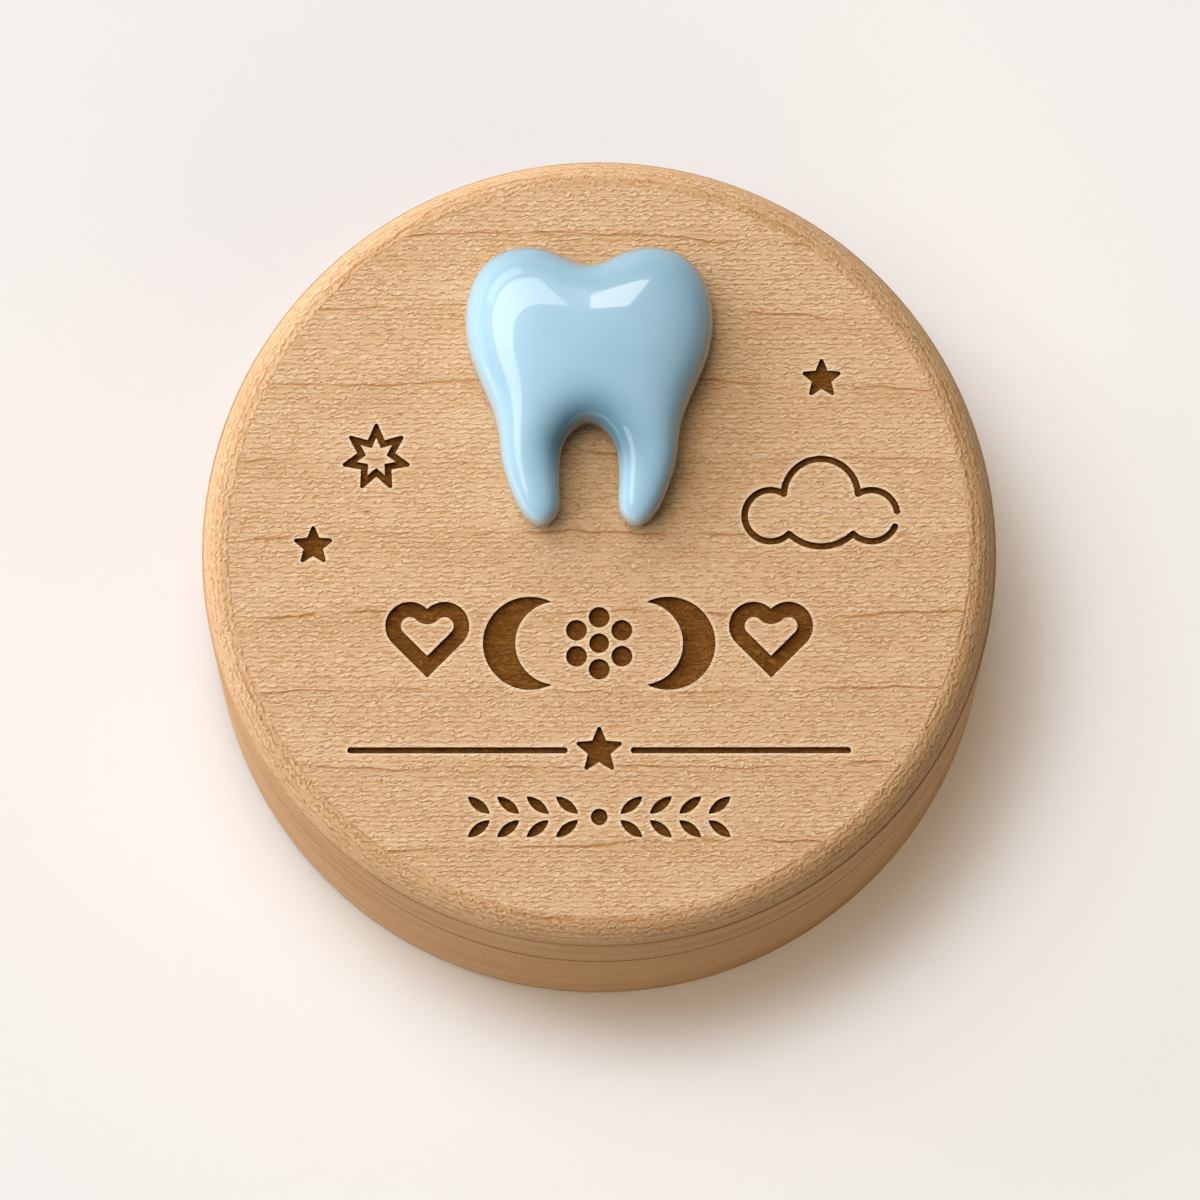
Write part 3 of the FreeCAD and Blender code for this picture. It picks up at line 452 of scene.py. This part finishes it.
def burn(tree, place, radius, z, colour, roughness):
    """Burnt floors of the ornaments, darker along their walls as painted shade and partly charring, with a
    painted highlight as a pale rim round each.
    """
    top = LID_TOP / MM
    inside = tree.math("LESS_THAN", radius, ORNAMENT_REACH)
    below = tree.ramp(z, top - CUT_START, top - CUT_FULL)
    above = tree.math("GREATER_THAN", z, top - CUT_LIMIT)
    cut = tree.math("MULTIPLY", tree.math("MULTIPLY", inside, below), above)
    mottle = tree.noise(tree.scaled(place, MOTTLE_WAVES), detail=4.0, roughness=0.65, distortion=0.8)
    burnt = tree.mix(tree.ramp(mottle, *SCORCHED_PATCHES), BURNT, SCORCHED)
    burnt = tree.mix(tree.ramp(mottle, *CHARRED_PATCHES), burnt, CHARRED_AND_CORNER_SHADE)
    # Painted shade, partly charring: darker where the pocket's walls close in
    burnt = tree.mix(tree.ramp(tree.corner(CORNER_SHADE_REACH, inside=False), *CORNER_SHADE_AND_CHAR), burnt, CHARRED_AND_CORNER_SHADE)
    level = tree.math("GREATER_THAN", z, top - TOP_MARGIN)
    # Painted highlight: a pale rim on the top wherever a pocket's edge is near
    rim = tree.ramp(tree.corner(RIM_HIGHLIGHT_REACH, inside=True), *RIM_PAINTED_HIGHLIGHT)
    rim = tree.math("MULTIPLY", tree.math("MULTIPLY", level, inside), rim)
    colour = tree.mix(cut, tree.mix(rim, colour, RIM_HIGHLIGHT_COLOUR), burnt)
    return colour, tree.between(cut, roughness, BURNT_ROUGHNESS)


def glaze():
    """Glossy pale blue glaze, paler where it thins at the edge, and darker in the fork as painted shade."""
    tree = Tree("blue_glaze")
    cloud = tree.noise(tree.scaled(tree.place(), CLOUD_WAVES))
    colour = tree.mix(tree.ramp(cloud, *CLOUD_RANGE), GLAZE, GLAZE_CLOUD)
    colour = tree.mix(tree.ramp(tree.attribute("rise"), *THIN_EDGE), colour, GLAZE_EDGE)
    # Painted shade in the fork between the roots
    colour = tree.mix(tree.attribute("fork_shade"), colour, GLAZE_FORK_SHADE)
    return tree.finish(Base_Color=colour, Roughness=0.32, Coat_Weight=1.0, Coat_IOR=1.56,
                       Coat_Roughness=0.03, Subsurface_Weight=0.08,
                       Subsurface_Radius=(0.0012, 0.0016, 0.0020))


def felt(name, body, dark, pale):
    """Pressed wool: matted fibres, flecks and a soft sheen."""
    tree = Tree(name)
    place = tree.place()
    mat = tree.noise(tree.scaled(place, MAT_WAVES), detail=4.0, roughness=0.7, distortion=1.2)
    strands = tree.noise(tree.scaled(place, STRAND_WAVES), distortion=2.5)
    crossing = tree.noise(tree.scaled(place, CROSSING_WAVES), distortion=2.5)
    fibres = tree.between(0.5, strands, crossing)
    colour = tree.mix(tree.ramp(mat, *DARK_MATS), body, dark)
    colour = tree.mix(tree.ramp(fibres, *PALE_STRANDS), colour, pale)
    normal = tree.bump(tree.math("ADD", fibres, mat), FELT_RELIEF)
    return tree.finish(Base_Color=colour, Roughness=0.95, Normal=normal, Sheen_Weight=0.45,
                       Sheen_Roughness=0.5, Specular_IOR_Level=0.1)


def nickel():
    """Nickel plate with fine scuffs."""
    tree = Tree("nickel_plate")
    scuff = tree.noise(tree.scaled(tree.place(), SCUFF_WAVES), detail=4.0, roughness=0.7)
    colour = tree.mix(scuff, NICKEL_DULL, NICKEL_BRIGHT)
    return tree.finish(Base_Color=colour, Metallic=1.0, Normal=tree.bump(scuff, SCUFF_RELIEF),
                       Roughness=tree.ramp(scuff, *SCUFF_ROUGHNESS))


def backdrop():
    """Matte warm white paper."""
    tree = Tree("backdrop_paper")
    fleck = tree.noise(tree.scaled(tree.place(), PAPER_WAVES), detail=3.0)
    pale = tuple(channel * PAPER_LIFT for channel in FLOOR_COLOUR[:3]) + (1.0,)
    return tree.finish(Base_Color=tree.mix(fleck, FLOOR_COLOUR, pale), Roughness=0.9,
                       Specular_IOR_Level=0.05)


# Tooth
def tooth_box():
    """Lowest and highest corners of the tooth in millimetres."""
    return [np.array(corner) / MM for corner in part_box("tooth_ornament")]


def closed_spline(points, count):
    """Even points along the smooth closed curve through the given ones."""
    ring = np.vstack([points, points[:1]])
    spans = np.linalg.norm(np.diff(ring, axis=0), axis=1)
    knots = np.concatenate([[0.0], np.cumsum(spans)])
    before = np.roll(spans, 1)
    rows = np.arange(len(spans))
    system = np.zeros((len(spans), len(spans)))
    system[rows, rows] = 2 * (before + spans)
    system[rows, (rows + 1) % len(spans)] += spans
    system[rows, rows - 1] += before
    slopes = np.diff(ring, axis=0) / spans[:, None]
    bends = np.linalg.solve(system, 6 * (slopes - np.roll(slopes, 1, axis=0)))
    bends = np.vstack([bends, bends[:1]])
    along = np.linspace(0.0, knots[-1], count, endpoint=False)
    span = np.searchsorted(knots, along, side="right") - 1
    length = spans[span][:, None]
    first = (knots[span + 1] - along)[:, None] / length
    second = 1 - first
    straight = first * ring[span] + second * ring[span + 1]
    curve = (first ** 3 - first) * bends[span] + (second ** 3 - second) * bends[span + 1]
    return straight + curve * length ** 2 / 6


def tooth_outline():
    """Outline of the tooth in millimetres, counterclockwise, with the inward direction at each point."""
    low, high = tooth_box()
    half = np.array(TOOTH_HALF)
    right = half[::-1]
    left = half[1:-1] * (-1, 1)
    shares = np.vstack([right, left])
    middle = ((low[0] + high[0]) / 2, low[1])
    size = ((high[0] - low[0]) / 2, high[1] - low[1])
    outline = closed_spline(middle + shares * size, OUTLINE_POINTS)
    along = np.roll(outline, -1, axis=0) - np.roll(outline, 1, axis=0)
    along /= np.linalg.norm(along, axis=1)[:, None]
    return outline, np.column_stack([-along[:, 1], along[:, 0]])


def inside_grid(outline):
    """Points of a square grid that lie inside the outline and clear of it."""
    low, high = outline.min(axis=0), outline.max(axis=0)
    across, up = np.meshgrid(np.arange(low[0], high[0], GRID_STEP), np.arange(low[1], high[1], GRID_STEP))
    points = np.column_stack([across.ravel(), up.ravel()])
    start, end = outline, np.roll(outline, -1, axis=0)
    px, py = points[:, :1], points[:, 1:]
    straddles = (start[:, 1] > py) != (end[:, 1] > py)
    slope = (end[:, 0] - start[:, 0]) / (end[:, 1] - start[:, 1] + LEAST_RISE)
    crossings = straddles & (px < start[:, 0] + (py - start[:, 1]) * slope)
    clear = np.hypot(px - start[:, 0], py - start[:, 1]).min(axis=1) > GRID_INSET
    return points[(crossings.sum(axis=1) % 2 == 1) & clear]


def tooth_face(outline, inward):
    """Flat face of the tooth, finest along its outline: points, triangles, and which points outline it."""
    rings = [outline] + [outline + inset * inward for inset in EDGE_INSETS]
    flat = [Vector(point) for point in np.vstack(rings + [inside_grid(outline)])]
    made = delaunay_2d_cdt(flat, [], [list(range(OUTLINE_POINTS))], INSIDE_ONLY, WELD_DISTANCE)
    points = np.array([tuple(point) for point in made[0]])
    edge = np.full(OUTLINE_POINTS, -1)
    for index, origins in enumerate(made[3]):
        if min(origins) < OUTLINE_POINTS:
            edge[min(origins)] = index
    return points, np.array(made[2]), edge


def blown_film(points, faces, held):
    """Height of a soap film over the faces, blown up evenly and held down at the marked points."""
    firsts, seconds, stiffness = [], [], []
    load = np.zeros(len(points))
    for corner in range(3):
        apex, one, two = faces[:, corner], faces[:, (corner + 1) % 3], faces[:, (corner + 2) % 3]
        to_one, to_two = points[one] - points[apex], points[two] - points[apex]
        area = np.abs(to_one[:, 0] * to_two[:, 1] - to_one[:, 1] * to_two[:, 0])
        firsts.append(one)
        seconds.append(two)
        stiffness.append((to_one * to_two).sum(axis=1) / (2 * area))
        load += np.bincount(apex, area / 6, len(points))
    first, second, stiff = (np.concatenate(parts) for parts in (firsts, seconds, stiffness))
    diagonal = np.bincount(first, stiff, len(points)) + np.bincount(second, stiff, len(points))

    def pull(height):
        flow = stiff * (height[first] - height[second])
        return np.bincount(first, flow, len(points)) - np.bincount(second, flow, len(points))

    film = np.zeros(len(points))
    rest = np.where(held, 0.0, load)
    eased = rest / diagonal
    step = eased.copy()
    weight = rest @ eased
    for _ in range(FILM_STEPS):
        drag = np.where(held, 0.0, pull(step))
        size = weight / (step @ drag)
        film += size * step
        rest -= size * drag
        eased = rest / diagonal
        following = rest @ eased
        if following < FILM_AT_REST:
            break
        step = eased + following / weight * step
        weight = following
    return film


def swell(points, faces, edge):
    """Rise of each point of the face, from 0 at the outline to 1: a blown film, fuller in the roots."""
    low, high = tooth_box()
    held = np.zeros(len(points), bool)
    held[edge] = True
    radius = np.sqrt(2 * np.maximum(blown_film(points, faces, held), 0.0))
    up = (points[:, 1] - low[1]) / (high[1] - low[1])
    rooted = np.clip((ROOTS_END - up) / ROOTS_BLEND, 0.0, 1.0)
    power = CROWN_POWER - ROOT_POWER_DROP * rooted ** 2 * (3 - 2 * rooted)
    return (radius / radius.max()) ** power


def painted_fork_shade(points, outline):
    """How strong the painted shade is at each point: most along the fork between the roots."""
    low, high = tooth_box()
    middle = (low[0] + high[0]) / 2
    aside = np.abs(outline[:, 0] - middle) / ((high[0] - low[0]) / 2)
    up = (outline[:, 1] - low[1]) / (high[1] - low[1])
    fork = outline[(aside < FORK_HALF_WIDTH) & (up > FORK_LOW) & (up < FORK_TOP)]
    gap = np.hypot(points[:, :1] - fork[:, 0], points[:, 1:] - fork[:, 1]).min(axis=1)
    return FORK_SHADE_SHARE * np.exp(-(gap / FORK_SHADE_REACH) ** 2)


def tooth():
    """Puffed tooth with a flat back: a blown film over the outline, on a wall that draws in below."""
    low, high = tooth_box()
    outline, inward = tooth_outline()
    points, faces, above = tooth_face(outline, inward)
    share = swell(points, faces, above)
    thickness = high[2] - low[2]
    waist = TOOTH_WAIST * thickness
    vertices = [np.column_stack([points, low[2] + waist + share * (thickness - waist)])]
    rise = [share]
    polygons = [tuple(face) for face in faces]
    following = np.roll(np.arange(OUTLINE_POINTS), -1)
    for step in range(1, WALL_STEPS + 1):
        turn = math.pi / 2 * step / WALL_STEPS
        ring = outline + TOOTH_UNDERCUT * (1 - math.cos(turn)) * inward
        level = np.full(OUTLINE_POINTS, low[2] + waist * (1 - math.sin(turn)))
        below = np.arange(OUTLINE_POINTS) + sum(len(part) for part in vertices)
        vertices.append(np.column_stack([ring, level]))
        rise.append(np.zeros(OUTLINE_POINTS))
        polygons += [(above[i], below[i], below[j], above[j]) for i, j in enumerate(following)]
        above = below
    polygons.append(tuple(above[::-1]))
    vertices = np.vstack(vertices)
    mesh = bpy.data.meshes.new("glazed_tooth")
    mesh.from_pydata((vertices * MM).tolist(), [], [[int(i) for i in face] for face in polygons])
    mesh.polygons.foreach_set("use_smooth", [True] * (len(polygons) - 1) + [False])
    fork_shade = painted_fork_shade(vertices[:, :2], outline)
    for name, values in (("rise", np.concatenate(rise)), ("fork_shade", fork_shade)):
        mesh.attributes.new(name, "FLOAT", "POINT").data.foreach_set("value", values)
    mesh.update()
    return place_piece("glazed_tooth", mesh, glaze(), "lid", "tooth_ornament")


# Felts
def felt_profile(radius, thickness):
    """Radius and height of each ring of a disc, from its upper face round the edge to its lower face."""
    roll = FELT_ROLL * thickness
    reach = np.linspace(0.0, radius - roll, FELT_RINGS)
    turn = np.linspace(0.0, math.pi / 2, FELT_ROLL_STEPS + 1)[1:]
    upper = [(r, thickness / 2) for r in reach[1:]]
    upper += [(radius - roll + roll * math.sin(t), thickness / 2 - roll + roll * math.cos(t)) for t in turn]
    return upper + [(r, -h) for r, h in reversed(upper)]


def disc_faces(rings):
    """Faces of a disc whose rings of points lie between a first and a last point on its axis."""
    last = 1 + rings * FELT_SPOKES
    faces = []
    for i in range(FELT_SPOKES):
        j = (i + 1) % FELT_SPOKES
        faces.append((0, 1 + i, 1 + j))
        for ring in range(rings - 1):
            start, below = 1 + ring * FELT_SPOKES, 1 + (ring + 1) * FELT_SPOKES
            faces.append((start + i, below + i, below + j, start + j))
        faces.append((last, last - FELT_SPOKES + j, last - FELT_SPOKES + i))
    return faces


def felt_disc(name, node, body, material, seed):
    """Cut felt with soft edges and an upper surface that is not quite flat."""
    low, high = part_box(node)
    radius, thickness = high.x, high.z - low.z
    profile = felt_profile(radius, thickness)
    spokes = np.arange(FELT_SPOKES) * 2 * math.pi / FELT_SPOKES
    draw = np.random.default_rng(seed)
    waves = [(draw.uniform(*FELT_WAVE_RANGE, 2) / MM, draw.uniform(*FELT_WAVE_STARTS))
             for _ in range(FELT_WAVES)]
    vertices = [(0.0, 0.0, thickness / 2)]
    for r, h in profile:
        vertices += [(r * math.cos(a), r * math.sin(a), h) for a in spokes]
    vertices.append((0.0, 0.0, -thickness / 2))
    vertices = np.array(vertices)
    wave = sum(np.sin(vertices[:, :2] @ pitch + start) for pitch, start in waves) / FELT_WAVES
    dip = FELT_DIP * thickness * (wave - 1)
    vertices[:, 2] += np.where(vertices[:, 2] > 0, dip, 0.0)
    vertices[:, 2] += (low.z + high.z) / 2
    polygons = disc_faces(len(profile))
    mesh = bpy.data.meshes.new(name)
    mesh.from_pydata(vertices.tolist(), [], polygons)
    mesh.polygons.foreach_set("use_smooth", [True] * len(polygons))
    piece = place_piece(name, mesh, material, body, node)


def place_piece(name, mesh, material, body, node):
    """Put a mesh in the scene in place of a node, riding on a body."""
    mesh.materials.append(material)
    piece = bpy.data.objects.new(name, mesh)
    bpy.context.scene.collection.objects.link(piece)
    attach(piece, body)
    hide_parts(node)
    return piece


def dress(node, material):
    """Give a node of the frame its material."""
    mesh = nodes[node].data
    mesh.materials.clear()
    mesh.materials.append(material)


# Stage
def add_camera():
    """Camera at the photograph's angle and framing."""
    back = Vector((0, -math.cos(CAMERA_ELEVATION), math.sin(CAMERA_ELEVATION)))
    image_up = Vector((0, math.sin(CAMERA_ELEVATION), math.cos(CAMERA_ELEVATION)))
    image_right = Vector((1, 0, 0))
    pixel = BOX_RADIUS / PIXELS_PER_RADIUS
    target = LID_CENTRE + image_right * (IMAGE_SIDE / 2 - LID_CENTRE_PIXEL[0]) * pixel
    target += image_up * (LID_CENTRE_PIXEL[1] - IMAGE_SIDE / 2) * pixel
    data = bpy.data.cameras.new("camera")
    data.sensor_width = SENSOR_WIDTH
    data.lens = SENSOR_WIDTH * PIXELS_PER_RADIUS * CAMERA_RADII / IMAGE_SIDE
    camera = bpy.data.objects.new("camera", data)
    camera.location = LID_CENTRE + back * CAMERA_RADII * BOX_RADIUS
    camera.rotation_mode = "QUATERNION"
    camera.rotation_quaternion = (target - camera.location).to_track_quat("-Z", "Y")
    bpy.context.scene.collection.objects.link(camera)
    bpy.context.scene.camera = camera


def towards(azimuth, tilt):
    """Direction from the middle of the lid, by angles in degrees round the vertical and away from it."""
    a, t = math.radians(azimuth), math.radians(tilt)
    return Vector((math.cos(a) * math.sin(t), math.sin(a) * math.sin(t), math.cos(t)))


def add_soft_light(plan):
    """Round light that faces the middle of the lid and gives no mirror image in the glaze."""
    data = bpy.data.lights.new(plan.name, "AREA")
    data.shape = "DISK"
    data.size = plan.diameter
    data.energy = plan.watts
    data.color = plan.colour
    light = bpy.data.objects.new(plan.name, data)
    away = towards(plan.azimuth, plan.tilt)
    light.location = LID_CENTRE + away * plan.distance
    light.rotation_mode = "QUATERNION"
    light.rotation_quaternion = away.to_track_quat("Z", "Y")
    light.visible_glossy = False
    bpy.context.scene.collection.objects.link(light)
    return light


def add_curved_box(plan):
    """Glowing strip bent round the lid, whose mirror image in the glaze has crisp edges."""
    azimuths = np.linspace(plan.azimuth_from, plan.azimuth_to, CURVED_STEPS + 1)
    tilts = (plan.tilt_from, plan.tilt_to)
    corners = []
    for azimuth in azimuths:
        corners += [LID_CENTRE + CURVED_DISTANCE * towards(azimuth, tilt) for tilt in tilts]
    faces = [(2 * i, 2 * i + 1, 2 * i + 3, 2 * i + 2) for i in range(CURVED_STEPS)]
    mesh = bpy.data.meshes.new(plan.name)
    mesh.from_pydata(corners, [], faces)
    aside = (azimuths - BRIGHTEST_AZIMUTH) / FADE_SPAN
    level = np.repeat(plan.radiance / (1 + aside ** 2), len(tilts))
    mesh.attributes.new("level", "FLOAT", "POINT").data.foreach_set("value", level)
    tree = Tree(f"{plan.name}_glow")
    mesh.materials.append(tree.finish(Base_Color=(0, 0, 0, 1), Specular_IOR_Level=0.0,
                                      Emission_Color=(*plan.colour, 1),
                                      Emission_Strength=tree.attribute("level")))
    box = bpy.data.objects.new(plan.name, mesh)
    box.visible_camera = False
    box.visible_diffuse = plan.shines
    box.visible_shadow = plan.shines
    box.visible_glossy = plan.mirrors
    bpy.context.scene.collection.objects.link(box)
    return box


def add_floor():
    """Pale paper floor."""
    half = FLOOR_SIDE / 2
    corners = [(-half, -half, 0), (half, -half, 0), (half, half, 0), (-half, half, 0)]
    mesh = bpy.data.meshes.new("floor")
    mesh.from_pydata(corners, [], [(0, 1, 2, 3)])
    mesh.materials.append(backdrop())
    floor = bpy.data.objects.new("floor", mesh)
    bpy.context.scene.collection.objects.link(floor)
    return floor


def add_surroundings():
    """Faint even light from all round, and plain colours in the picture."""
    world = bpy.data.worlds.new("surroundings")
    world.use_nodes = True
    sky = world.node_tree.nodes["Background"]
    sky.inputs["Color"].default_value = WORLD_COLOUR
    sky.inputs["Strength"].default_value = WORLD_STRENGTH
    bpy.context.scene.world = world
    bpy.context.scene.view_settings.view_transform = "Standard"


def light_reaches(floor, ornament):
    """Collections that keep a light to the floor, to the box, to the tooth or to the box without it."""
    reaches = {}
    for name, objects, state in (("floor", [floor], "INCLUDE"), ("box", [floor], "EXCLUDE"),
                                 ("tooth", [ornament], "INCLUDE"), ("wood", [floor, ornament], "EXCLUDE")):
        reaches[name] = bpy.data.collections.new(f"lit_{name}")
        for item in objects:
            reaches[name].objects.link(item)
        for member in reaches[name].collection_objects:
            member.light_linking.link_state = state
    return reaches


def add_stage(ornament):
    """Floor, surroundings and the lights of the studio."""
    reaches = light_reaches(add_floor(), ornament)
    add_surroundings()
    for plan in SOFT_LIGHTS:
        add_soft_light(plan).light_linking.receiver_collection = reaches[plan.reach]
    for plan in CURVED_BOXES:
        add_curved_box(plan).light_linking.receiver_collection = reaches[plan.reach]


add_camera()
add_stage(tooth())
for node, name, plank_place in WOODEN_PIECES:
    dress(node, beech(name, plank_place, ornaments=node == "lid"))
metal = nickel()
dress("rim_magnets", metal)
dress("lid_magnets", metal)
lining = felt("lining_felt", *LINING_COLOURS)
pad = felt("pad_felt", *PAD_COLOURS)
felt_disc("foot_felt", "foot_pad", "base", pad, seed=3)
felt_disc("floor_felt", "floor_lining", "base", lining, seed=5)
felt_disc("lid_felt", "lid_lining", "lid", lining, seed=7)
